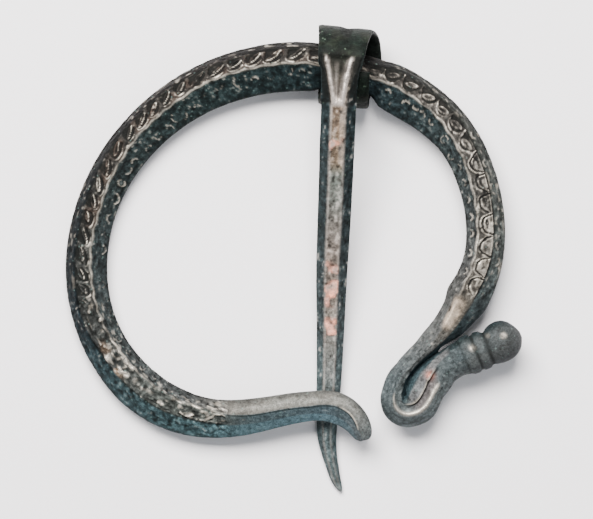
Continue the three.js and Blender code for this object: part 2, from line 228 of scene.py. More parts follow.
CREST = table([
    [0.0, 0.0], [1.6, -0.06], [3.0, -0.38], [4.4, -0.55], [6.0, -0.48], [8.0, -0.22], [10.0, 0.0], [16.0, 0.0], [20.0, -0.35], [22.0, -0.80], [24.0, -1.10], [27.0, -1.40],
    [31.0, -1.60], [36.0, -1.55], [40.0, -1.35], [43.0, -1.10], [46.0, -0.90], [50.0, -0.75],
    [55.0, -0.50], [60.0, -0.45], [64.0, -0.10], [68.0, 0.10], [71.0, 0.32], [76.0, 0.38],
    [80.0, 0.50], [83.0, 0.66], [88.0, 0.55], [97.0, 0.50], [100.0, 0.15], [103.5, 0.0],
    [106.5, 0.15], [109.0, 0.38], [113.0, 0.30], [117.0, 0.10], [119.0, -0.30], [123.0, -0.80],
    [127.0, -1.05], [135.0, -1.20], [139.0, -1.42], [142.0, -1.45], [145.0, -1.20],
    [148.0, -0.75], [154.0, -0.20], [157.5, -0.62], [159.0, -0.95], [159.6, -1.25],
    [160.2, -2.10], [160.9, -2.40], [161.6, -2.40], [162.3, -2.20], [163.0, -1.95],
    [163.7, -1.60], [165.0, -1.20], [167.0, -0.60], [170.0, -0.20], [178.31, 0.0],
])
SHOULDER = table([
    [0.0, 0.45], [10.0, 1.00], [16.0, 1.15], [20.0, 1.00], [23.0, 0.72], [27.0, 0.64], [31.0, 0.70],
    [36.0, 0.78], [40.0, 0.88], [43.0, 1.20], [46.0, 1.45], [50.0, 1.42], [55.0, 1.42], [60.0, 1.58],
    [64.0, 1.82], [68.0, 2.08], [74.0, 2.28], [80.0, 2.46], [97.0, 2.46], [100.0, 1.95],
    [103.5, 1.62], [106.5, 1.85], [109.0, 2.46], [115.0, 2.34], [118.0, 2.00], [121.0, 1.58],
    [125.0, 1.16], [130.0, 1.08], [137.0, 0.90], [141.0, 0.68], [144.0, 0.60], [147.0, 0.62],
    [150.5, 0.50], [154.0, 0.22], [157.5, 0.12], [159.6, -0.10], [160.2, -0.75], [160.9, -1.05],
    [161.6, -1.00], [162.3, -0.75], [163.0, -0.50], [163.7, -0.10], [165.0, 0.35], [167.0, 0.80],
    [170.0, 1.10], [178.31, 0.5],
])
THICKNESS = table([
    [0.0, 1.5], [0.35, 2.0], [1.0, 2.35], [3.0, 2.75], [6.0, 2.95], [13.0, 3.10], [20.0, 3.55],
    [28.0, 4.15], [38.0, HEIGHT], [97.0, HEIGHT], [103.5, 4.10], [108.0, 4.25], [111.0, HEIGHT],
    [142.0, HEIGHT], [150.0, 4.05], [158.0, 3.85], [165.0, 3.95], [169.0, 4.30], [170.6, 5.0],
    [171.3, 5.1], [171.8, 4.5], [172.3, 5.0], [172.9, 4.9], [173.5, 4.2], [174.1, 5.0],
    [174.9, 5.55], [175.6, 5.7], [176.3, 5.5], [177.0, 4.8], [177.7, 3.3], [178.1, 1.9],
    [178.31, 0.8],
])
MID_HEIGHT = table([
    [0.0, 4.15], [1.0, 4.30], [3.0, 4.50], [6.0, 4.60], [10.0, 4.45], [15.0, 3.95], [20.0, 3.35],
    [28.0, 2.85], [36.0, 2.45], [44.0, 2.20], [60.0, 2.20], [75.0, 2.65], [90.0, 3.35],
    [103.5, 3.88], [115.0, 4.02], [130.0, 4.15], [145.0, 4.25], [160.0, 4.20], [178.31, 4.10],
])
ROUNDNESS = table([[0, 0], [164.0, 0], [167.5, 0.6], [169.5, 1], [178.31, 1]])
HOLLOW = table([[0, 0], [157.6, 0], [160.2, 0.34], [163.0, 0.38], [166.0, 0.15], [169.0, 0], [178.31, 0]])
ROOF = table([[0, 1], [17.0, 1], [27.0, 0], [178.31, 0]])


def bent_path(s, step=0.01):
    n = round(LENGTH / step)
    bs, bd = np.array(BENDS).T
    i = np.arange(n)
    half = np.radians(np.interp((i + 0.5) * step, bs, bd))
    quarter = np.radians(np.interp((i + 0.25) * step, bs, bd))
    th = np.concatenate([[math.radians(HEADING)], math.radians(HEADING) + np.cumsum(half * step)])
    a = th[:-1] + quarter * step / 2
    x = START[0] + np.concatenate([[0], np.cumsum(np.cos(a) * step)])
    y = START[1] + np.concatenate([[0], np.cumsum(np.sin(a) * step)])
    at = np.arange(n + 1) * step
    return np.interp(s, at, x), np.interp(s, at, y), np.interp(s, at, th)


# columns between the fifteen corners of the bar's section, finest on the carved facet
SPLIT = [6, 6, 11, 9, 6, 6, 6, 3, 3, 2, 2, 2, 2, 3, 3]


def bar_sections(s):
    """Sections (stations, columns, [across, up]) and the corner number of each column."""
    a, b, h = HALF_OUTER(s), HALF_INNER(s), THICKNESS(s)
    roof, hollow, crest = ROOF(s), HOLLOW(s), CREST(s)
    top, low, side = h / 2, -h / 2, -0.06 * h
    shoulder = np.minimum(SHOULDER(s), a - 0.12)
    on_roof = top + (side - top) * (shoulder - crest) / (a - crest)
    up = (top - 0.10 * h) * (1 - roof) + on_roof * roof
    pt = lambda u, v: np.stack([u, v], -1)
    mid = lambda p, q, t: p + (q - p) * t
    outer, should, crestp = pt(a, side), pt(shoulder, up), pt(crest, top)
    inner, in_foot, out_foot = pt(-b, side), pt(-b * FOOT, low), pt(a * FOOT, low)
    # inside the fold the top of the stem is a raised flat tongue that steps down to the hollow
    tongue = ramp(160.05, 160.8, s) * (1 - ramp(165.5, 168.5, s))
    should[:, 1] += tongue * (top - 0.02 - should[:, 1])
    dip = np.stack([should[:, 0] + (crestp[:, 0] - should[:, 0]) * (0.42 - 0.27 * tongue), mid(should, crestp, 0.42)[:, 1]], -1)
    dip[:, 1] -= hollow + 0.20 * tongue
    flank = mid(outer, should, 0.5)
    flank[:, 0] += tongue * (should[:, 0] + 0.62 * (a - should[:, 0]) - flank[:, 0])
    flank[:, 1] += tongue * (top - 0.10 - flank[:, 1])
    belly = roof * ramp(0.5, 4.0, s)
    in1, in2 = mid(crestp, inner, 0.33), mid(crestp, inner, 0.67)
    in1[:, 1] += 0.16 * belly
    in2[:, 1] += 0.30 * belly
    p = np.stack([
        outer, flank, should, dip, crestp, in1, in2, inner,
        pt(-b * 0.93, side + (low - side) * 0.5), in_foot,
        mid(in_foot, out_foot, 0.25), mid(in_foot, out_foot, 0.5), mid(in_foot, out_foot, 0.75),
        out_foot, pt(a * 0.93, side + (low - side) * 0.5),
    ], 1)
    cols, num = [], []
    for k, m in enumerate(SPLIT):
        for i in range(m):
            cols.append(p[:, k] + (p[:, (k + 1) % 15] - p[:, k]) * (i / m))
            num.append(k + i / m)
    sec, num = np.stack(cols, 1), np.array(num)
    t = 2 * np.pi * num[None, :] / 15
    c, r = ((a - b) / 2)[:, None], ((a + b) / 2)[:, None]
    rnd = ROUNDNESS(s)[:, None, None]
    disc = np.stack([c + r * np.cos(t), (h / 2)[:, None] * np.sin(t)], -1)
    return sec * (1 - rnd) + disc * rnd, num


# ------------------------------------------------------------------ the ring's carving
# centres of the cup-shaped motifs along the bar
CUPS = [
    17.0, 20.9, 23.2, 26.2, 28.8, 31.2, 33.6, 36.0, 38.2, 40.2, 42.3, 44.9, 46.9, 48.9, 51.0, 53.4,
    56.2, 58.6, 60.8, 63.0, 65.6, 68.2, 70.9, 73.3, 75.5, 77.5, 79.7, 82.2, 85.0, 87.5, 89.8, 92.4,
    95.4, 98.2, 101.0, 103.6, 106.0, 108.4, 111.0, 113.8, 116.2, 118.6, 121.5, 124.4, 127.1,
    129.8, 132.8, 135.7, 138.5, 141.2, 144.0,
]
# stamped arcs on the inner facet: distance, across, radius, from and to angle, strength
ARCS = [
    (49.6, -1.9, 0.50, 200, 340, 0.5), (52.4, -1.6, 0.45, 20, 160, 0.4), (54.8, -1.75, 0.70, 200, 335, 1.0),
    (57.2, -2.3, 0.45, 40, 180, 0.5), (59.6, -2.30, 0.62, 20, 165, 0.9), (62.5, -1.45, 0.85, 215, 350, 1.1),
    (65.0, -1.62, 0.46, 30, 335, 0.85), (67.1, -1.10, 0.75, 200, 320, 1.1), (68.6, -1.75, 0.55, 10, 140, 1.0),
    (71.4, -2.10, 0.55, 20, 190, 0.9), (73.6, -1.55, 0.50, 150, 330, 0.7), (75.6, -2.0, 0.5, 330, 500, 0.8),
    (77.2, -1.25, 0.55, 100, 260, 0.8), (78.3, -1.65, 0.50, 240, 400, 0.9), (80.2, -0.80, 0.55, 190, 330, 0.7),
    (80.6, -2.00, 0.60, 30, 150, 0.8), (82.6, -1.15, 0.5, 20, 160, 0.6), (84.6, -0.35, 0.55, 200, 340, 0.7),
    (87.3, -0.75, 0.55, 100, 280, 0.8), (89.7, -1.25, 0.55, 25, 165, 1.2), (92.0, -0.9, 0.5, 200, 340, 0.6),
    (94.6, -0.55, 0.50, 250, 400, 0.8), (96.4, -0.9, 0.5, 20, 160, 0.6), (108.8, -0.95, 0.50, 20, 150, 1.1),
    (111.9, -1.25, 0.70, 60, 175, 1.3), (113.2, -0.35, 0.55, 215, 330, 1.2), (114.4, -1.15, 0.60, 15, 130, 1.2),
    (116.2, -0.75, 0.45, 180, 330, 0.9), (119.2, -1.35, 0.50, 30, 330, 0.8), (121.9, -1.85, 0.50, 200, 370, 0.8),
    (123.9, -1.95, 0.45, 20, 160, 0.8), (126.3, -2.20, 0.55, 25, 155, 1.0), (128.9, -2.30, 0.55, 25, 155, 1.0),
    (131.5, -2.30, 0.60, 30, 150, 1.1), (133.9, -2.35, 0.62, 25, 155, 1.1), (136.9, -2.35, 0.62, 25, 155, 1.1),
    (139.8, -2.30, 0.55, 25, 155, 0.9), (25.0, -2.3, 0.4, 20, 160, 0.4), (29.6, -2.4, 0.4, 20, 160, 0.6),
    (32.9, -2.7, 0.4, 20, 160, 0.7), (35.3, -2.5, 0.4, 20, 200, 0.7), (38.6, -2.4, 0.4, 20, 160, 0.6),
    (41.0, -2.2, 0.45, 0, 200, 0.7), (45.6, -2.0, 0.5, 200, 340, 0.4),
]
# stamped marks on the outer facet, in the same form
OUTER_MARKS = [
    (124.9, 1.90, 0.50, 190, 330, 0.6), (128.2, 1.95, 0.70, 205, 350, 1.0), (131.4, 2.05, 0.55, 40, 200, 0.8),
    (132.4, 1.95, 0.62, 195, 330, 1.0), (135.4, 2.05, 0.62, 190, 335, 1.0), (137.4, 1.55, 0.6, 20, 140, 0.9),
    (139.9, 1.65, 0.62, 200, 320, 1.1), (121.2, 2.30, 0.50, 200, 330, 0.7), (118.1, 2.85, 0.5, 200, 330, 0.5),
]
# strokes: (distance, across) points of raised lines where the carving runs out on the arm
STROKES = [
    [(20.5, 2.00), (21.0, 1.55), (21.7, 1.35), (22.5, 1.65), (23.1, 2.15)],
    [(23.4, 1.95), (24.0, 1.40), (24.9, 1.42), (25.8, 2.05)],
    [(26.6, 1.55), (27.3, 1.30), (28.3, 1.50)],
    [(20.5, 0.55), (20.75, -0.10), (21.3, -0.45), (22.3, -0.50), (22.9, 0.05), (23.7, 0.50), (24.3, 0.35)],
    [(25.2, -0.10), (25.7, 0.25), (26.5, 0.30), (27.2, 0.0)],
    [(20.6, -0.95), (21.4, -1.25), (22.6, -1.20), (23.4, -1.45)],
    [(30.4, 1.75), (31.0, 1.95)], [(33.6, 1.55), (34.5, 1.35)], [(31.9, 0.95), (32.7, 0.75)],
    [(46.9, 1.9), (47.2, 1.3)],
]


def arcs(s, u, rows, width):
    out = np.zeros_like(u)
    for sc, uc, r, a0, a1, k in rows:
        near = np.abs(s[:, 0] - sc) < r + 1.2
        ds, du = s[near] - sc, u[near] - uc
        d = np.hypot(ds, du) - r
        mid, half = math.radians((a0 + a1) / 2), math.radians((a1 - a0) / 2)
        off = np.abs((np.arctan2(du, ds) - mid + np.pi) % (2 * np.pi) - np.pi)
        keep = 1.0 if a1 - a0 >= 359 else 1 - ramp(half - 0.15, half + 0.15, off)
        out[near] += k * keep * (line(d, width) - 0.55 * line(d - 2.1 * width, width) - 0.55 * line(d + 2.1 * width, width))
    return out


def strokes(s, u, rows, width):
    out = np.zeros_like(u)
    for pts in rows:
        near = (s[:, 0] > min(p[0] for p in pts) - 1) & (s[:, 0] < max(p[0] for p in pts) + 1)
        x, y = np.broadcast_to(s[near], u[near].shape), u[near]
        best = np.full(y.shape, 9.0)
        for (x0, y0), (x1, y1) in zip(pts, pts[1:]):
            t = np.clip(((x - x0) * (x1 - x0) + (y - y0) * (y1 - y0)) / ((x1 - x0) ** 2 + (y1 - y0) ** 2), 0, 1)
            best = np.minimum(best, np.hypot(x - x0 - t * (x1 - x0), y - y0 - t * (y1 - y0)))
        out[near] += line(best, width) - 0.6 * line(best - 2.1 * width, width)
    return out


def ring():
    s = stations([
        (0, 1.2, 0.10), (1.2, 20.0, 0.30), (20.0, 97.5, 0.121), (97.5, 107.0, 0.40),
        (107.0, 144.0, 0.121), (144.0, 158.8, 0.18), (158.8, 161.2, 0.055), (161.2, 169.5, 0.15),
        (169.5, 178.31, 0.10),
    ])
    sec, num = bar_sections(s)
    sec = soften(sec, 2)
    nrm = section_normals(sec)
    px, py, th = bent_path(s)
    S, N = s[:, None], num[None, :]
    u, up = sec[..., 0], sec[..., 1]
    flat = np.stack([S + 0 * u, u, up * 1.3], -1)      # unrolled, so noise isn't stretched
    world = np.stack([px[:, None] - np.sin(th)[:, None] * u, py[:, None] + np.cos(th)[:, None] * u, MID_HEIGHT(s)[:, None] + up], -1)
    crest, a = CREST(s)[:, None], HALF_OUTER(s)[:, None]
    shoulder = np.minimum(SHOULDER(s)[:, None], a - 0.12)
    w = np.maximum(shoulder - crest, 0.3)
    band = window(21.0, 142.6, S, 0.7)
    on_mid = window(2.0, 4.0, N, 0.12)
    on_outer = window(0.15, 1.92, N, 0.10)
    on_inner = window(4.1, 6.85, N, 0.12)
    on_top = window(0.0, 7.0, N, 0.3)

    # cups: phase along the bar and height above the crest
    idx = np.interp(s, CUPS, np.arange(len(CUPS)))
    cup = np.round(idx).astype(int)
    pitch = np.interp(s, (np.array(CUPS)[1:] + np.array(CUPS)[:-1]) / 2, np.diff(CUPS))[:, None]
    rng = np.random.default_rng(11)
    lean, size, slit, depth, drop, rise, tilt = (
        rng.uniform(lo, hi, len(CUPS) + 1)[cup][:, None] for lo, hi in
        ((-0.06, 0.08), (0.82, 1.10), (0, 1), (0.80, 1.20), (-0.05, 0.06), (-0.06, 0.06), (-0.18, 0.22)))
    left = 1 - ramp(100, 104, S)
    pads = ramp(119, 126, S)
    far_left = 1 - ramp(45.0, 49.0, S)
    v = (u - crest) / w
    wob = (0.05 + 0.03 * left) * noise(flat, 1.3, 5) + 0.03 * noise(flat, 0.5, 6) + 0.06 * pads * noise(flat, 0.8, 78)
    x = (idx - cup)[:, None] - (0.34 * left + 0.10 * (1 - pads) + lean) * (v - 0.35) + wob
    sharp = 4.0 - 1.1 * (1 - left)
    vc = 0.19 + drop + 0.07 * pads * noise(flat, 0.9, 79) + 0.66 * np.abs(2 * x) ** sharp
    slope = 0.66 * sharp * 2 * np.abs(2 * x) ** (sharp - 1) * w / pitch
    d = (v - vc) * w / np.sqrt(1 + slope**2)
    inside = ramp(0.0, 0.12, d)
    bottom = line(2 * x, 0.70)
    # leaf or eye in each cup, tilted; on the right they become pads cut off by the shoulder
    ex, ey = x * pitch - 0.02, (v - 0.62 - rise) * w
    turn = (0.30 + 0.24 * left) * (1 - pads) + tilt * (1 - 0.6 * pads)
    ax, ay = ex * np.cos(turn) + ey * np.sin(turn), ey * np.cos(turn) - ex * np.sin(turn)
    eye = np.sqrt((ax / ((0.38 + 0.06 * left) * pitch * size)) ** 2 + (ay / ((0.17 + 0.06 * slit) * w)) ** 2) + 0.10 * noise(flat, 0.6, 7)
    leaf = 1 - ramp(0.80, 1.08, eye)
    pad = ramp(0.21, 0.35, d + 0.05 * noise(flat, 0.5, 80))
    boss = leaf * (1 - pads) + pad * pads
    rim = line(eye - 0.78, 0.27) * (1 - pads) * (1 + left * (0.45 - 0.95 * ramp(-0.10, 0.12, ay))) + line(d - 0.38, 0.10) * pads
    hollowed = (1 - ramp(0.35, 0.70, eye)) * (1 - 0.55 * pads)
    carve = (
        0.055 * line(d + 0.09, 0.10) * (1 - 0.85 * left * ramp(0.28, 0.62, v) + 0.35 * pads)
        - 0.21 * inside * (1 - boss)
        + 0.050 * rim * inside
        - 0.075 * hollowed * (slit < 0.72)
        - 0.10 * line(d + 0.31, 0.08) * bottom * (depth > 0.88)
        - 0.15 * (slit > 0.55) * line(ay, 0.11) * line(ax, 0.17 * pitch)
        - 0.12 * (slit < 0.25) * pads * line(np.hypot(ex + 0.2, ey * 1.2) - 0.22, 0.07)
    )
    worn_down = 0.90 + 0.25 * noise(flat, 4.0, 9)
    carve = carve * depth * worn_down
    rough_area = far_left * band
    worms = np.abs(noise(flat, 0.62, 25))
    streak = 0.75 * noise(flat * np.array([0.45, 1.0, 1.0]), 0.34, 21) + 0.45 * noise(flat * np.array([0.6, 1.0, 1.0]), 0.55, 77)
    carve = carve * (1 - 0.72 * rough_area) + rough_area * (
        0.11 * streak + 0.05 * noise(flat, 0.34, 22) - 0.10 * (1 - ramp(0.03, 0.20, worms)))
    relief = carve * on_mid * band
    # what is left of the same punch work on the two sloping facets
    chased = 1 - ramp(0.04, 0.20, np.abs(noise(flat * np.array([1.0, 1.25, 1.0]), 0.75, 26)))
    relief = relief - 0.055 * chased * on_inner * (window(70, 98, S, 6) + 0.6 * window(117, 141, S, 3) + 0.7 * window(27, 47, S, 3)) * ramp(-0.2, 0.4, noise(flat, 1.9, 27))
    relief = relief - 0.050 * chased * on_outer * window(24, 47, S, 4) * ramp(-0.1, 0.5, noise(flat, 1.9, 28))
    relief = relief - 0.045 * chased * on_outer * window(56, 140, S, 4) * ramp(-0.1, 0.5, noise(flat, 1.7, 29))
    # the raised, scalloped crest
    crest_line = line(u - crest + 0.02, 0.15) * window(3.2, 5.0, N, 0.3) * (0.8 + 0.35 * noise(flat, 1.1, 76))
    relief = relief + 0.060 * crest_line * ramp(17, 22, S) * (1 - 0.75 * window(144, 158.5, S, 1.5)) * (1 - ramp(163.5, 166, S))
    # fine step along the outer side of the plain arm's crest, and of the fold's crest
    arm_step = line(u - crest - 0.17, 0.10) * window(1.8, 20.5, S, 0.8)
    fold_step = line(u - crest + 0.22, 0.09) * window(159.2, 164.5, S, 0.6) * (N > 3.9)
    relief = relief - 0.085 * arm_step - 0.05 * fold_step
    # groove along the shoulder and the long dashes outside it
    past = u - shoulder
    groove = line(past - 0.10, 0.11) * window(0.9, 2.3, N, 0.2)
    relief = relief - 0.15 * groove * band * (0.55 + 0.45 * np.tanh(3 * noise(flat, 2.6, 31) + 1))
    relief = relief + 0.05 * line(past + 0.10, 0.09) * on_mid * band * (1 - 0.6 * left)
    dash_x = (((S + 0.35 * noise(flat, 3.0, 33)) / 2.85) % 1 - 0.5) * 2.85
    dash_c = 0.42 * (a - shoulder)
    dash = line(past - dash_c, 0.13) * line(dash_x, 0.95) - 0.7 * line(past - dash_c - 0.24, 0.09) * line(dash_x, 1.1)
    dash_on = window(57.5, 120.0, S, 1.5)
    relief = relief + 0.075 * dash * on_outer * dash_on * (0.6 + 0.5 * noise(flat, 2.2, 34))
    outer_marks = arcs(S, u, OUTER_MARKS, 0.12) * on_outer
    relief = relief + 0.095 * outer_marks
    inner_marks = arcs(S, u, ARCS, 0.125) * on_inner
    relief = relief + 0.095 * inner_marks
    run_out = strokes(S, u, STROKES, 0.13) * on_top
    relief = relief + 0.11 * run_out
    # cast and corroded skin
    lumpy = 0.45 + 0.75 * window(24, 48, S, 3) + 0.75 * window(146, 168, S, 3) + 0.3 * ramp(105, 112, S) * (1 - ramp(140, 150, S))
    calm = 1 - 0.6 * window(6, 18, S, 2)
    skin = 0.034 * noise(flat, 1.5, 1) + 0.026 * noise(flat, 0.65, 2) + 0.016 * noise(flat, 0.34, 3)
    pits = -0.075 * ramp(0.42, 0.75, noise(flat, 0.50, 4)) - 0.06 * ramp(0.5, 0.8, noise(flat, 1.0, 8))
    relief = relief + lumpy * calm * (skin + 0.8 * pits)
    life = window(21, 143.5, S, 1.0) * (1 - 0.4 * window(98.5, 106, S, 1.0)) + 0.42 * window(143.5, 170, S, 1.0) + 0.16 * (1 - ramp(19, 22, S))
    life = np.clip(life, 0, 1)
    speck = 0.80 * noise(flat * np.array([0.75, 1.0, 1.0]), 0.42, 51) + 0.50 * noise(flat, 0.25, 52)
    relief = relief + 0.060 * life * speck * (1 - 0.45 * on_mid)
    # nothing stands proud of the ring's widest line or its underside
    relief = np.where((N > 6.7) | (N < 0.35), np.minimum(relief, 0.0), relief)
    relief = relief * (1 - 0.9 * window(8.9, 13.1, N, 0.1) * window(40, 64, S, 2))

    fold = window(159.2, 161.4, S, 0.2) * (N > 4.6)
    relief = relief * (1 - fold)
    shift = -0.085 * np.cos(2 * np.pi * (idx - cup))[:, None] * line(u - crest, 0.33) * band * window(2.6, 5.6, N, 0.3)
    u2 = u + nrm[..., 0] * relief + shift
    v2 = up + nrm[..., 1] * relief
    # deep in the fold the lower sides are pushed out until they meet, giving the groove a floor that stands in for the
    # slit's shaded depth
    web = (window(151.2, 159.7, S, 0.7) + 0.8 * window(160.6, 167.0, S, 0.6)) * np.clip(window(12.8, 15.2, N, 0.35) + 0.5 * (1 - ramp(0.0, 0.5, N)), 0, 1)
    u2 = u2 + 0.42 * web
    z = MID_HEIGHT(s)[:, None] + v2
    grid = np.stack([px[:, None] - np.sin(th)[:, None] * u2, py[:, None] + np.cos(th)[:, None] * u2, np.maximum(z, 0.0)], -1)
    grid[..., 0] = np.clip(grid[..., 0], -31.09, 31.03)

    # ---- paint
    # the facet tables hold painted light and shade besides the patina: the outer facet painted near black along the
    # left and top (s 44 to 120), a painted dark reflection; the inner facet painted light on the arm (s 6 to 20), where
    # it faces the lamp, and dark across the top, where it faces down
    outer_c = band_colours([
        (0, (108, 120, 124)), (8, (112, 138, 144)), (16, (106, 132, 138)), (24, (92, 118, 122)), (34, (70, 92, 95)),
        (44, (26, 38, 44)), (52, (20, 26, 29)), (70, (13, 13, 12)), (85, (23, 20, 18)), (97, (22, 22, 20)),
        (107, (25, 25, 24)), (120, (62, 64, 60)), (135, (92, 97, 94)), (146, (82, 94, 96)),
        (158, (82, 98, 101)), (165, (86, 100, 103)), (170, (58, 70, 72)), (178, (46, 54, 57)),
    ], s)
    mid_c = band_colours([
        (0, (108, 116, 118)), (8, (100, 118, 124)), (17, (96, 112, 116)), (22, (98, 102, 98)), (30, (94, 98, 94)), (38, (86, 89, 86)),
        (45, (66, 68, 66)), (60, (53, 53, 50)), (80, (55, 52, 48)), (97, (58, 55, 51)), (110, (92, 87, 81)),
        (130, (84, 82, 77)), (142, (98, 94, 87)), (147, (118, 112, 102)), (152, (112, 114, 112)),
        (158, (110, 117, 117)), (163, (112, 120, 120)), (170, (84, 94, 96)), (178, (62, 69, 72)),
    ], s)
    inner_c = band_colours([
        (0, (120, 126, 126)), (6, (150, 150, 146)), (14, (146, 146, 142)), (20, (128, 126, 120)),
        (26, (76, 80, 79)), (40, (58, 65, 65)), (52, (52, 60, 61)), (66, (51, 61, 61)), (80, (44, 55, 55)),
        (97, (38, 51, 53)), (107, (48, 62, 66)), (118, (58, 69, 70)), (130, (68, 75, 75)),
        (142, (90, 90, 87)), (150, (112, 114, 112)), (158, (106, 116, 118)), (165, (120, 128, 128)),
        (172, (78, 86, 88)), (178, (60, 66, 69)),
    ], s)
    w_out = window(-0.5, 1.95, N, 0.15) + (N > 13.5)
    w_out = np.clip(w_out, 0, 1)
    w_mid = window(1.95, 4.05, N, 0.15)
    w_in = window(4.05, 8.0, N, 0.15)
    w_low = np.clip(1 - w_out - w_mid - w_in, 0, 1)
    low_c = painted((64, 72, 66))
    tint = (
        w_out[..., None] * outer_c[:, None] + w_mid[..., None] * mid_c[:, None]
        + w_in[..., None] * inner_c[:, None] + w_low[..., None] * low_c
    ) / np.maximum((w_out + w_mid + w_in + w_low)[..., None], 1e-6)
    gold = window(144.0, 148.0, S, 0.9) * window(2.9, 4.7, N, 0.5) * (0.65 + 0.5 * noise(world, 0.9, 41))
    tint = over(tint, painted((198, 184, 160)), np.clip(gold, 0, 1) * 0.6)
    tongue_top = window(160.4, 168.5, S, 0.5) * window(0.9, 2.1, N, 0.2)
    tint = over(tint, painted((136, 136, 136)), np.clip(tongue_top, 0, 1) * 0.85)
    hollow_in = window(160.6, 165.0, S, 0.6) * window(2.3, 3.9, N, 0.3)
    tint = over(tint, painted((136, 124, 122)), np.clip(hollow_in, 0, 1) * 0.6)
    copper = line(np.hypot(world[..., 0] - 18.5, world[..., 1] + 15.5), 0.55) * (N < 7)
    tint = over(tint, painted((200, 158, 132)), np.clip(copper, 0, 1) * 0.55)
    gold2 = window(36.5, 41.5, S, 1.0) * on_mid * ramp(-0.1, 0.5, noise(world, 1.0, 42))
    tint = over(tint, painted((190, 172, 148)), np.clip(gold2, 0, 1) * 0.3)
    warm = on_mid * window(56, 97, S, 3) * ramp(0.0, 0.6, noise(world, 1.6, 43))
    tint = over(tint, painted((104, 84, 70)), np.clip(warm, 0, 1) * 0.35)
    tint = tint * np.exp(1.15 * life * speck)[..., None]
    # the arm's inner facet painted darker, with a lighter band beside the crest: a painted highlight band on polished
    # metal
    arm_highlight_band = window(4.0, 8.0, N, 0.2) * (1 - ramp(18, 23, S)) * ramp(1.0, 4.0, S)
    tint = tint * (1 - arm_highlight_band * (0.48 - 0.62 * line(u - crest + 0.80, 0.50)))[..., None]
    # the ring's outer and inner edges painted darker along the carved stretch: painted shade where the sides fall away
    edge = 0.6 * np.clip(line(u - a, 0.30) + line(u + HALF_INNER(s)[:, None], 0.25), 0, 1) * window(21, 143, S, 3)
    tint = tint * (1 - edge)[..., None]
    high = ramp(0.030, 0.095, relief * (1.15 * on_mid * band + 0.75 * on_inner + 0.42 * on_outer * ramp(19, 22, S)))
    plain_top = on_mid * band * ramp(-0.03, 0.03, relief) * 0.80 * pads * boss * ramp(-0.75, 0.25, noise(flat, 0.7, 54))
    # a bright line along the crest: rubbed metal and a painted highlight on the ridge
    thin_crest = line(u - crest + 0.03, 0.11) * window(3.2, 5.0, N, 0.3) * (1 - 0.75 * rough_area * ramp(-0.2, 0.3, noise(flat, 0.9, 55)))
    crest_wear_and_highlight = (0.90 - 0.22 * window(46, 80, S, 4)) * thin_crest * (ramp(20, 23, S) * (1 - ramp(141, 144, S)) + 0.9 * window(159.4, 164.6, S, 0.5) + 0.9 * window(1.9, 5.2, S, 0.5))
    crest_wear_and_highlight = crest_wear_and_highlight * (1 - 0.34 * band + 0.75 * noise(flat, 1.2, 56) * band)
    # the mask of exposed metal: rubbed metal on what stands proud, and painted highlights and glints on rims, crests
    # and specks
    wear_and_highlight = np.clip(0.95 * high + plain_top + crest_wear_and_highlight, 0, 1)
    on_streaks = np.clip(on_mid + on_inner * ramp(-2.25, -1.85, u), 0, 1)
    wear_and_highlight = np.maximum(wear_and_highlight, 0.52 * rough_area * on_streaks * ramp(0.12, 0.60, streak) * (1 - ramp(0.3, 0.9, u)))
    clear = np.clip(window(61.0, 69.2, S, 0.5) + window(107.5, 117.5, S, 0.8) + window(127.5, 142.0, S, 1.0), 0, 1)
    broken = ramp(-0.55, 0.25, noise(flat, 0.42, 60)) * (0.26 + 0.48 * clear)
    wear_and_highlight = np.maximum(wear_and_highlight, broken * ramp(0.20, 0.75, inner_marks))
    wear_and_highlight = np.maximum(wear_and_highlight, 0.68 * ramp(-0.4, 0.3, noise(flat, 0.42, 74)) * ramp(0.15, 0.65, outer_marks))
    # bright flecks of exposed metal on the outer facet: painted glints
    glint_flecks = noise(flat * np.array([0.5, 1.0, 1.0]), 0.46, 59)
    wear_and_highlight = np.maximum(wear_and_highlight, 0.58 * on_outer * (window(79, 98, S, 2) + 0.7 * window(107, 142, S, 2) + 0.35 * window(50, 79, S, 3)) * ramp(0.42, 0.72, glint_flecks))
    # pale specks of exposed metal, clustered, over the carved stretch: painted glints
    cluster = 0.25 + 0.75 * ramp(-0.25, 0.45, noise(flat, 2.2, 57))
    wear_and_highlight = np.maximum(wear_and_highlight, (0.42 + 0.25 * on_mid) * life * cluster * ramp(0.50, 0.90, speck))
    arm_face = window(4.1, 6.2, N, 0.35) * window(2.5, 21.5, S, 1.2)
    wear_and_highlight = np.maximum(wear_and_highlight, 0.085 * arm_face * (0.8 + 0.4 * noise(world, 1.2, 46)))
    wear_and_highlight = wear_and_highlight * (0.80 + 0.35 * noise(world, 0.8, 44))
    wear_and_highlight = np.maximum(wear_and_highlight, 0.9 * np.clip(gold, 0, 1) * 0.6)
    glint = line(np.hypot(world[..., 0] - 24.2, world[..., 1] + 11.8), 0.42) + line(np.hypot(world[..., 0] - 28.4, world[..., 1] + 10.1), 0.38)
    glint = glint + 0.6 * line(np.hypot(world[..., 0] - 26.3, world[..., 1] + 10.2), 0.3)
    wear_and_highlight = np.maximum(wear_and_highlight, 0.75 * np.clip(glint, 0, 1) * (N < 7.5) * (0.7 + 0.5 * noise(world, 0.3, 58)))
    # the upper side of the knob and collars made a little lighter: painted highlight on their tops
    knob_top_highlight = ramp(169.5, 171, S) * ramp(0.35, 0.9, (up / (THICKNESS(s)[:, None] / 2))) * 0.03
    wear_and_highlight = np.maximum(wear_and_highlight, knob_top_highlight)
    # dark paint in the recesses and pits and dark specks: partly dirt, partly painted shade that deepens the grooves
    grime_and_shade = np.maximum(ramp(0.02, 0.13, -relief), 0.85 * life * ramp(0.50, 0.90, -speck)) * (1 - 0.50 * rough_area * on_mid)
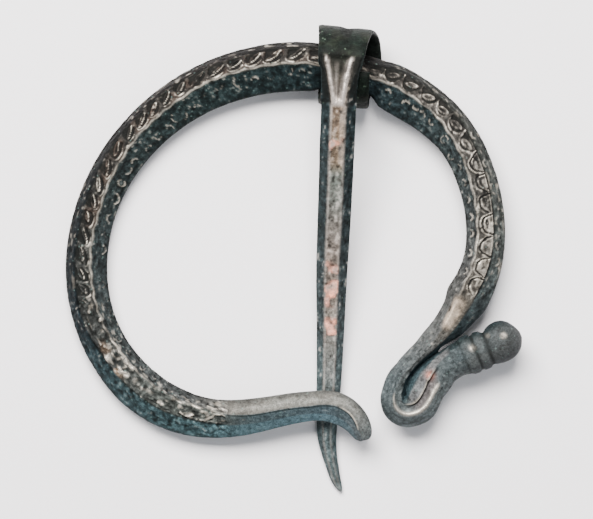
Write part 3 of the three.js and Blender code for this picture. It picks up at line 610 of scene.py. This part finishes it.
    # the grooves between the collars painted near black
    collars = line(S - 171.8, 0.20) + line(S - 173.5, 0.26) + 0.6 * line(S - 170.0, 0.2)
    grime_and_shade = np.maximum(grime_and_shade, 0.9 * np.clip(collars, 0, 1))
    # a dark line painted along the step outside the arm's crest: painted shadow under the crest's overhang
    grime_and_shade = np.maximum(grime_and_shade, 0.75 * arm_step)
    slot = window(150.5, 167.0, S, 1.0) * np.clip((N > 13.0) + (1 - ramp(0.4, 1.1, N)), 0, 1)
    tint = over(tint, painted((92, 112, 118)), slot)
    wear_and_highlight = wear_and_highlight * (1 - slot)
    grime_and_shade = grime_and_shade * (1 - slot)
    # a thin bright line along the tongue's edge: painted highlight where the edge catches the light
    lip = line(u - shoulder - 0.04, 0.12) * window(160.4, 165.8, S, 0.4) * window(0.9, 2.3, N, 0.2)
    wear_and_highlight = np.maximum(wear_and_highlight, 0.85 * lip)
    # a bright line along the fold's crest: rubbed metal and a painted highlight on the ridge
    fold_crest = line(u - crest - 0.02, 0.24) * window(159.9, 164.8, S, 0.5) * window(3.2, 5.0, N, 0.3)
    wear_and_highlight = np.maximum(wear_and_highlight, 0.95 * fold_crest)
    # a dark line where the tongue steps down to the hollow: painted shade on the step's face
    step = line(u - shoulder + 0.16, 0.13) * window(160.2, 166.0, S, 0.4) * window(1.8, 3.6, N, 0.2)
    grime_and_shade = np.maximum(grime_and_shade, 0.75 * step)
    return grid, {"tint": np.clip(tint, 0, 1), "wear_and_highlight": np.clip(wear_and_highlight, 0, 1), "grime_and_shade": np.clip(grime_and_shade, 0, 1)}


# ------------------------------------------------------------------ the pin
AXIS_AT, AXIS_TURN = (7.85, 26.10, 5.37), math.radians(-6)
BORE, STRAP, LAP, TUCKED_AT = 4.65, 0.72, 1.05, 97
STRAP_LEFT = table([[97, -3.70], [180, -3.92], [270, -4.44], [360, -4.98], [405, -4.86], [450, -4.50]])
STRAP_RIGHT = table([[97, 2.50], [180, 2.90], [225, 3.05], [270, 4.20], [315, 3.70], [360, 2.72], [410, 1.95], [450, 1.36]])
SHANK_OFFSET = table([[0, -1.57], [1.03, -1.50], [3.2, -1.38], [6.1, -1.14], [11.2, -0.81], [13.9, -0.61], [20.7, -0.16], [27.1, 0.22], [36.1, 0.98], [42.3, 1.45], [48.7, 1.84], [50.6, 2.06], [52.8, 2.64], [54.5, 3.24], [55.9, 3.78], [56.8, 4.22], [57.45, 4.62]])
SHANK_WIDTH = table([[0, 5.86], [1.03, 5.20], [3.2, 4.84], [6.1, 4.70], [11.2, 4.71], [13.9, 4.63], [20.7, 4.49], [27.1, 4.26], [36.1, 3.73], [42.3, 3.38], [48.7, 2.78], [50.6, 2.55], [52.8, 2.10], [54.5, 1.74], [55.9, 1.46], [56.8, 1.12], [57.45, 0.45]])
SHANK_THICK = table([[0, 0.95], [2.6, 1.25], [6.16, 2.05], [11.3, 2.60], [20.0, 2.60], [36.2, 2.40], [44.0, 2.10], [48.8, 1.95], [52.0, 1.70], [54.5, 1.35], [56.5, 0.90], [57.45, 0.40]])
SHANK_HEIGHT = table([[0, 11.38], [2.6, 11.10], [6.16, 10.25], [11.3, 8.85], [20.0, 6.45], [30.0, 3.75], [36.0, 2.40], [40.0, 1.72], [44.0, 1.34], [48.8, 0.975], [52.0, 0.90], [57.45, 0.58]])
SHANK_LENGTH = 57.45
PIN_SPLIT = [4, 5, 4, 4, 5, 4, 9, 8, 8, 9]


def pin():
    deg = stations([(97, 104, 0.7), (104, 352, 1.8), (352, 450, 1.3)])[:-1]
    t = np.radians(deg)
    r = BORE + STRAP / 2 + ramp(352, 450, deg) * LAP
    thick1 = 0.35 + (STRAP - 0.35) * ramp(TUCKED_AT - 4, TUCKED_AT + 10, deg) + np.maximum(deg - 400, 0) / 50 * 0.15
    c1 = np.stack([r * np.cos(t), r * np.sin(t)], -1)
    d2 = stations([(0, 9.0, 0.11), (9.0, 52.0, 0.15), (52.0, SHANK_LENGTH, 0.09)])
    c2 = np.stack([-d2, SHANK_HEIGHT(d2) - AXIS_AT[2]], -1)
    c = np.concatenate([c1, c2])
    left = np.concatenate([STRAP_LEFT(deg), SHANK_OFFSET(d2) - SHANK_WIDTH(d2) / 2])
    right = np.concatenate([STRAP_RIGHT(deg), SHANK_OFFSET(d2) + SHANK_WIDTH(d2) / 2])
    thick = np.concatenate([thick1, SHANK_THICK(d2)])
    shank = np.concatenate([0 * deg, ramp(-0.5, 6.0, d2)])
    # distance toward the point, negative on the loop (as the arc before the shank)
    dist = np.concatenate([-(np.radians(450 - deg)) * 6.0, d2])
    tan = np.empty_like(c)
    tan[1:-1], tan[0], tan[-1] = c[2:] - c[:-2], c[1] - c[0], c[-1] - c[-2]
    k = np.ones(5) / 5
    for q in range(2):
        tan[2:-2, q] = np.convolve(tan[:, q], k, "valid")
    tan /= np.hypot(tan[:, 0], tan[:, 1])[:, None]
    nor = np.stack([tan[:, 1], -tan[:, 0]], -1)
    h = thick / 2
    lerp = lambda a, b, f: a + (b - a) * f
    ridge, edge, foot = lerp(0.44, 0.20, shank), lerp(h * 0.55, -h * 0.10, shank), lerp(0.44, 0.27, shank)
    low_edge = -edge * (1 - shank) - 0.10 * h * shank
    half, zero = np.full_like(h, 0.5), np.zeros_like(h)
    pts = np.stack([
        np.stack([-half, edge], -1), np.stack([-half, low_edge], -1), np.stack([-foot, -h], -1),
        np.stack([zero, -h], -1), np.stack([foot, -h], -1), np.stack([half, low_edge], -1),
        np.stack([half, edge], -1), np.stack([ridge, h], -1), np.stack([zero, h], -1), np.stack([-ridge, h], -1),
    ], 1)
    w, mid = (right - left)[:, None], ((left + right) / 2)[:, None]
    pts[..., 0] = pts[..., 0] * w
    cols, num = [], []
    for e, m in enumerate(PIN_SPLIT):
        for i in range(m):
            cols.append(pts[:, e] + (pts[:, (e + 1) % 10] - pts[:, e]) * (i / m))
            num.append(e + i / m)
    sec, num = soften(np.stack(cols, 1), 1), np.array(num)[None, :]
    # counter-clockwise seen along the strap, so the outward side is to the right of travel
    nrm = section_normals(sec)
    flip = -1.0 if np.sum((sec - sec.mean(1, keepdims=True)) * nrm) < 0 else 1.0
    nrm = nrm * flip
    a, up = sec[..., 0], sec[..., 1]
    D = dist[:, None]
    flat = np.stack([D + 0 * a, a + mid, up], -1)
    top = window(5.9, 10.05, num, 0.1)
    over_top = np.clip(top + (num < 0.3), 0, 1)
    # the two ridges that run down from the strap into the shank's top facet, and the sunk triangle between
    f = np.clip((D + 1.4) / 6.2, 0, 1)
    line_l, line_r = -2.20 + 1.62 * f ** 0.75, 1.62 - 1.22 * f ** 0.75
    here = window(-0.95, 5.3, D, 0.40)
    between = ramp(0.10, 0.42, a - line_l) * ramp(0.12, 0.45, line_r - a)
    relief = here * top * (0.12 * line(a - line_l, 0.22) + 0.17 * line(a - line_r, 0.28))
    relief = relief - here * top * 0.12 * (1 - ramp(0.0, 0.35, a - line_l + 0.55)) - here * top * 0.12 * ramp(0.15, 0.5, a - line_r)
    relief = relief - here * top * 0.34 * between * (1 - ramp(3.2, 5.2, D))
    relief = relief + here * top * 0.14 * line(a - (0.55 * line_l + 0.45 * line_r) + 0.1, 0.17) * between
    relief = relief - 0.11 * window(-1.3, 1.4, D, 0.7) * top
    relief = relief - here * top * 0.12 * line(a - line_r + 0.52, 0.12) * (1 - ramp(3.4, 4.6, D))
    # a dent across the top of the loop
    relief = relief - 0.20 * window(-11.5, -4.5, D, 1.2) * over_top * line(a + mid + 0.95, 0.75)
    # hammered and corroded skin
    head = 1 - ramp(-2.0, 3.0, D)
    skin = 0.026 * noise(flat, 1.6, 61) + 0.022 * noise(flat, 0.7, 62) + 0.014 * noise(flat, 0.34, 63)
    skin = skin * (1 + 0.9 * head)
    speck = 0.80 * noise(flat * np.array([0.6, 1.0, 1.0]), 0.45, 81) + 0.50 * noise(flat, 0.26, 82)
    life = np.clip(0.85 * ramp(-1.0, 2.0, D) * (1 - 0.75 * ramp(40, 46, D)) + 0.30 + 0.30 * (1 - ramp(-3, 0, D)), 0, 1)
    skin = skin + 0.040 * life * speck
    pits = -0.05 * ramp(0.50, 0.82, noise(flat, 0.60, 64)) - 0.035 * ramp(0.5, 0.85, noise(flat, 1.2, 65))
    relief = relief + skin + pits * (0.8 + 0.4 * head)
    limit = (num > 0.6) & (num < 5.4)
    relief = np.where(limit, np.minimum(relief, 0.0), relief)
    ends = ramp(0, 0.5, D - dist.min()) * (1 - ramp(57.1, 57.45, D))
    relief = relief * ends
    # the strap's outside stays inside the loop's own size
    relief = np.where(D < -3.0, np.minimum(relief, 0.0), relief)
    a2, up2 = a + mid + nrm[..., 0] * relief, up + nrm[..., 1] * relief
    y = c[:, None, 0] + nor[:, None, 0] * up2
    zz = c[:, None, 1] + nor[:, None, 1] * up2
    ct, st = math.cos(AXIS_TURN), math.sin(AXIS_TURN)
    grid = np.stack([AXIS_AT[0] + a2 * ct - y * st, AXIS_AT[1] + a2 * st + y * ct, np.clip(AXIS_AT[2] + zz, 0.02, 11.84)], -1)

    # ---- paint
    centre_c = band_colours([
        (-36, (20, 27, 22)), (-3, (22, 30, 25)), (-1.5, (24, 30, 25)), (0.0, (66, 64, 54)), (2, (88, 80, 68)), (5, (146, 130, 110)),
        (9, (146, 129, 106)), (12.6, (146, 132, 110)), (14.5, (108, 119, 112)), (18, (112, 121, 115)),
        (21, (126, 121, 114)), (26, (142, 131, 120)), (31, (142, 132, 121)), (34, (128, 124, 116)), (40, (116, 121, 119)),
        (46, (112, 125, 126)), (52, (106, 120, 121)), (57.45, (96, 110, 111)),
    ], dist)
    side_c = band_colours([
        (-36, (18, 24, 21)), (-2, (24, 32, 30)), (4, (42, 52, 54)), (20, (54, 65, 67)), (34, (68, 79, 81)),
        (46, (98, 114, 116)), (57.45, (90, 104, 106)),
    ], dist)
    w_c = window(7.0, 9.0, num, 0.10) * ramp(-3, 0, D) + (1 - ramp(-3, 0, D)) * top
    tint = side_c[:, None] * (1 - w_c[..., None]) + centre_c[:, None] * w_c[..., None]
    low = window(1.0, 5.0, num, 0.4)
    tint = over(tint, painted((66, 74, 68)), 0.5 * low)
    gold = w_c * (window(9.6, 12.4, D, 0.5) + window(26.5, 31.8, D, 0.8) + 0.8 * window(34.0, 36.8, D, 0.6))
    gold = gold * ramp(-0.15, 0.5, noise(flat, 0.85, 71))
    tint = over(tint, painted((224, 182, 142)), np.clip(gold, 0, 1) * 0.85)
    olive = head * ramp(0.0, 0.7, noise(flat, 1.3, 72)) * over_top
    tint = over(tint, painted((44, 46, 34)), np.clip(olive, 0, 1) * 0.45)
    tint = tint * np.exp(1.05 * life * speck)[..., None]
    # the middle of the shank painted darker on its left half and lighter on its right half: painted shade and painted
    # sheen
    sheen_and_shade = w_c * window(2.6, 12.6, D, 0.8)
    tint = tint * (1 - 0.38 * sheen_and_shade * (1 - ramp(-0.35, 0.15, a)))[..., None]
    ridges = here * top * (0.80 * line(a - line_l, 0.26 + 0.16 * f) + 1.1 * line(a - line_r, 0.34 + 0.22 * f)) * ramp(-1.5, -0.5, D)
    edge_l = line(a + ridge[:, None] * w, 0.16) + 0.8 * line(a - ridge[:, None] * w, 0.16)
    # exposed metal on the ridges and along the edges: rubbed metal and painted highlights
    wear_and_highlight = np.clip(ridges + 0.40 * edge_l * ramp(3.0, 5.0, D) * top * (1 - 0.6 * ramp(40, 52, D)), 0, 1)
    wear_and_highlight = np.maximum(wear_and_highlight, w_c * ramp(2.0, 5.0, D) * (1 - ramp(12.6, 14, D)) * (0.04 + 0.30 * ramp(0.10, 0.65, speck)))
    wear_and_highlight = np.maximum(wear_and_highlight, 0.33 * sheen_and_shade * ramp(0.05, 0.40, a) * (0.75 + 0.4 * noise(flat, 0.9, 75)))
    wear_and_highlight = np.maximum(wear_and_highlight, 0.55 * here * top * between * line(a - (0.55 * line_l + 0.45 * line_r) + 0.1, 0.15) * ramp(-0.6, 0.2, D))
    wear_and_highlight = np.maximum(wear_and_highlight, 0.75 * np.clip(gold, 0, 1))
    wear_and_highlight = np.maximum(wear_and_highlight, w_c * ramp(13, 15, D) * (1 - ramp(38, 46, D)) * (0.10 + 0.40 * ramp(0.15, 0.7, speck)))
    # pale specks of exposed metal: painted glints
    wear_and_highlight = np.maximum(wear_and_highlight, 0.45 * life * ramp(0.55, 0.95, speck) * ramp(-1, 1, D) * (1 - low))
    wear_and_highlight = wear_and_highlight * (0.85 + 0.3 * noise(flat, 0.7, 73))
    # dark paint in the recesses, specks and the lines beside the ridges: dirt and painted shade together
    grime_and_shade = np.maximum(ramp(0.025, 0.12, -relief), 0.8 * life * ramp(0.50, 0.9, -speck)) * (1 - 0.35 * here * between)
    grime_and_shade = np.maximum(grime_and_shade, 0.9 * here * top * (line(a - line_r + 0.50, 0.13) + 0.6 * line(a - line_l - 0.85, 0.1)) * ramp(-1.4, -0.8, D) * (1 - ramp(3.6, 4.6, D)))
    # the lower facets inside the loop painted dark: painted shade within the loop
    inside = low * (1 - ramp(-2.5, 0.5, D))
    grime_and_shade = np.maximum(grime_and_shade, 0.55 * inside)
    if flip < 0:
        grid = grid[:, ::-1]
        tint, wear_and_highlight, grime_and_shade = tint[:, ::-1], wear_and_highlight[:, ::-1], grime_and_shade[:, ::-1]
    return grid, {"tint": np.clip(tint, 0, 1), "wear_and_highlight": np.clip(wear_and_highlight, 0, 1), "grime_and_shade": np.clip(grime_and_shade, 0, 1)}


# ------------------------------------------------------------------ bronze
def bronze(name, seed, metal, glint_specks):
    mat = bpy.data.materials.new(name)
    mat.use_nodes = True
    nt = mat.node_tree
    nt.nodes.clear()
    new, link = nt.nodes.new, nt.links.new
    out = new("ShaderNodeOutputMaterial")
    sh = new("ShaderNodeBsdfPrincipled")
    link(sh.outputs["BSDF"], out.inputs["Surface"])
    co = new("ShaderNodeTexCoord")

    def attr(key, channel):
        n = new("ShaderNodeAttribute")
        n.attribute_name = key
        return n.outputs[channel]

    def shifted(offset):
        n = new("ShaderNodeMapping")
        n.inputs["Location"].default_value = offset
        link(co.outputs["Object"], n.inputs["Vector"])
        return n.outputs["Vector"]

    def tex(scale, detail, rough, offset, distortion=0.0):
        n = new("ShaderNodeTexNoise")
        n.inputs["Scale"].default_value = scale
        n.inputs["Detail"].default_value = detail
        n.inputs["Roughness"].default_value = rough
        n.inputs["Distortion"].default_value = distortion
        link(shifted(offset), n.inputs["Vector"])
        return n.outputs["Fac"]

    def remap(v, a, b, c, d):
        n = new("ShaderNodeMapRange")
        n.clamp = True
        for key, val in (("From Min", a), ("From Max", b), ("To Min", c), ("To Max", d)):
            n.inputs[key].default_value = val
        link(v, n.inputs["Value"])
        return n.outputs["Result"]

    def maths(op, a, b, clamp=False):
        n = new("ShaderNodeMath")
        n.operation = op
        n.use_clamp = clamp
        for i, v in enumerate((a, b)):
            if isinstance(v, (int, float)):
                n.inputs[i].default_value = v
            else:
                link(v, n.inputs[i])
        return n.outputs["Value"]

    def mix(fac, a, b, mode="MIX"):
        n = new("ShaderNodeMix")
        n.data_type = "RGBA"
        n.blend_type = mode
        for key, v in ((0, fac), (6, a), (7, b)):
            if isinstance(v, (int, float)):
                n.inputs[key].default_value = v
            elif isinstance(v, tuple):
                n.inputs[key].default_value = (*v, 1)
            else:
                link(v, n.inputs[key])
        return n.outputs[2]

    def bright(colour, v):
        n = new("ShaderNodeHueSaturation")
        link(colour, n.inputs["Color"])
        link(v, n.inputs["Value"])
        return n.outputs["Color"]

    tint, wear_and_highlight, grime_and_shade = attr("tint", "Color"), attr("wear_and_highlight", "Fac"), attr("grime_and_shade", "Fac")
    o = seed * 0.013
    broad = tex(620, 3, 0.55, (o, 0.01, 0.02))
    mottle = tex(2100, 3, 0.60, (0.03, o, 0.01), 0.4)
    grain = tex(7200, 2, 0.60, (0.02, 0.04, o))
    vor = new("ShaderNodeTexVoronoi")
    vor.inputs["Scale"].default_value = 1500
    link(shifted((o, 0.05, 0.03)), vor.inputs["Vector"])
    dots = remap(vor.outputs["Distance"], 0.10, 0.26, 1.0, 0.0)
    some = remap(tex(900, 1, 0.5, (0.07, o, 0.05)), 0.52, 0.60, 0.0, 1.0)
    # patina: the painted tint, broken up in tone and spotted with paler green specks that are painted glints
    tone = maths("MULTIPLY", remap(broad, 0.25, 0.75, 0.74, 1.28), remap(mottle, 0.30, 0.70, 0.52, 1.55))
    patina = bright(tint, maths("MULTIPLY", tone, remap(grain, 0.30, 0.70, 0.62, 1.45)))
    patina = mix(maths("MULTIPLY", maths("MULTIPLY", dots, some), 0.40), patina, glint_specks)
    # exposed bronze on what stands proud, where the metal is rubbed, and painted highlights and glints
    scratchy = remap(maths("ADD", maths("MULTIPLY", mottle, 0.5), maths("MULTIPLY", grain, 0.5)), 0.38, 0.60, 0.55, 1.15)
    bare_and_highlight = maths("MULTIPLY", wear_and_highlight, scratchy, True)
    metal_c = mix(remap(broad, 0.35, 0.65, 0.0, 1.0), metal, tuple(0.82 * c + 0.10 for c in metal))
    colour = mix(bare_and_highlight, patina, metal_c)
    # the grime mask, broken by mottle, darkens the colour toward near black: dirt in the hollows and painted shade
    # together
    dirt_and_shade = maths("MULTIPLY", grime_and_shade, remap(mottle, 0.3, 0.7, 0.70, 1.0), True)
    colour = mix(dirt_and_shade, colour, (0.0045, 0.005, 0.0045))
    link(colour, sh.inputs["Base Color"])
    link(maths("SUBTRACT", maths("ADD", maths("MULTIPLY", bare_and_highlight, 0.78), 0.08), maths("MULTIPLY", dirt_and_shade, 0.08), True), sh.inputs["Metallic"])
    rough = maths("ADD", remap(mottle, 0.25, 0.75, 0.44, 0.66), maths("MULTIPLY", dirt_and_shade, 0.20))
    link(maths("SUBTRACT", rough, maths("MULTIPLY", bare_and_highlight, 0.24), True), sh.inputs["Roughness"])
    sh.inputs["Specular IOR Level"].default_value = 0.06
    b1 = new("ShaderNodeBump")
    b1.inputs["Strength"].default_value = 0.45
    b1.inputs["Distance"].default_value = 0.00016
    link(mottle, b1.inputs["Height"])
    b2 = new("ShaderNodeBump")
    b2.inputs["Strength"].default_value = 0.35
    b2.inputs["Distance"].default_value = 0.00006
    link(grain, b2.inputs["Height"])
    link(b1.outputs["Normal"], b2.inputs["Normal"])
    link(b2.outputs["Normal"], sh.inputs["Normal"])
    return mat


ring_bronze = bronze("ring_bronze", 1, (0.56, 0.50, 0.41), (0.13, 0.20, 0.18))
pin_bronze = bronze("pin_bronze", 2, (0.60, 0.53, 0.47), (0.12, 0.17, 0.12))

grid, paint = ring()
hoop = closed_mesh("hoop_carved", grid, paint)
hoop.data.materials.append(ring_bronze)
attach(hoop, "hoop")
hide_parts("hoop")

grid, paint = pin()
pin_ob = closed_mesh("pin_faceted", grid, paint)
pin_ob.data.materials.append(pin_bronze)
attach(pin_ob, "pin")
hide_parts("pin")


# ------------------------------------------------------------------ floor, light, camera
def paper():
    mat = bpy.data.materials.new("paper")
    mat.use_nodes = True
    nt = mat.node_tree
    sh = nt.nodes["Principled BSDF"]
    co = nt.nodes.new("ShaderNodeTexCoord")
    n = nt.nodes.new("ShaderNodeTexNoise")
    n.inputs["Scale"].default_value = 2600
    n.inputs["Detail"].default_value = 3
    nt.links.new(co.outputs["Object"], n.inputs["Vector"])
    m = nt.nodes.new("ShaderNodeMix")
    m.data_type = "RGBA"
    m.inputs[6].default_value = (0.93, 0.905, 0.915, 1)
    m.inputs[7].default_value = (0.98, 0.955, 0.965, 1)
    nt.links.new(n.outputs["Fac"], m.inputs[0])
    nt.links.new(m.outputs[2], sh.inputs["Base Color"])
    sh.inputs["Roughness"].default_value = 0.9
    sh.inputs["Specular IOR Level"].default_value = 0.1
    return mat


me = bpy.data.meshes.new("floor")
r = 0.6
me.from_pydata([(-r, -r, 0), (r, -r, 0), (r, r, 0), (-r, r, 0)], [], [(0, 1, 2, 3)])
floor = bpy.data.objects.new("floor", me)
floor.location.z = -0.00002
bpy.context.scene.collection.objects.link(floor)
floor.data.materials.append(paper())


def area(name, at, size, power, colour, toward=(0, 0, 0.003)):
    la = bpy.data.lights.new(name, "AREA")
    la.shape = "RECTANGLE"
    la.size, la.size_y = size
    la.energy = power
    la.color = colour
    ob = bpy.data.objects.new(name, la)
    ob.location = at
    d = np.array(toward) - np.array(at)
    z = -d / np.linalg.norm(d)
    x = np.cross((0, 1, 0), z)
    x /= np.linalg.norm(x)
    y = np.cross(z, x)
    from mathutils import Matrix

    ob.matrix_world = Matrix(((x[0], y[0], z[0], at[0]), (x[1], y[1], z[1], at[1]), (x[2], y[2], z[2], at[2]), (0, 0, 0, 1)))
    bpy.context.scene.collection.objects.link(ob)
    return ob


area("key", (-0.10, 0.30, 0.46), (0.46, 0.30), 13.8, (1.0, 0.982, 0.970))
area("fill", (0.30, -0.30, 0.50), (0.5, 0.5), 1.5, (0.92, 0.96, 1.0))

world = bpy.data.worlds.new("studio")
world.use_nodes = True
bg = world.node_tree.nodes["Background"]
bg.inputs["Color"].default_value = (0.80, 0.84, 0.90, 1)
bg.inputs["Strength"].default_value = 0.28
bpy.context.scene.world = world

cam_d = bpy.data.cameras.new("camera")
cam = bpy.data.objects.new("camera", cam_d)
bpy.context.scene.collection.objects.link(cam)
DIST = 0.55
cam.location = (0.00044, 0.00014, DIST)
cam_d.sensor_width = 36
cam_d.lens = 36 * (DIST - 0.003) / 0.08065
cam_d.clip_start = 0.01
cam_d.clip_end = 5
bpy.context.scene.camera = cam
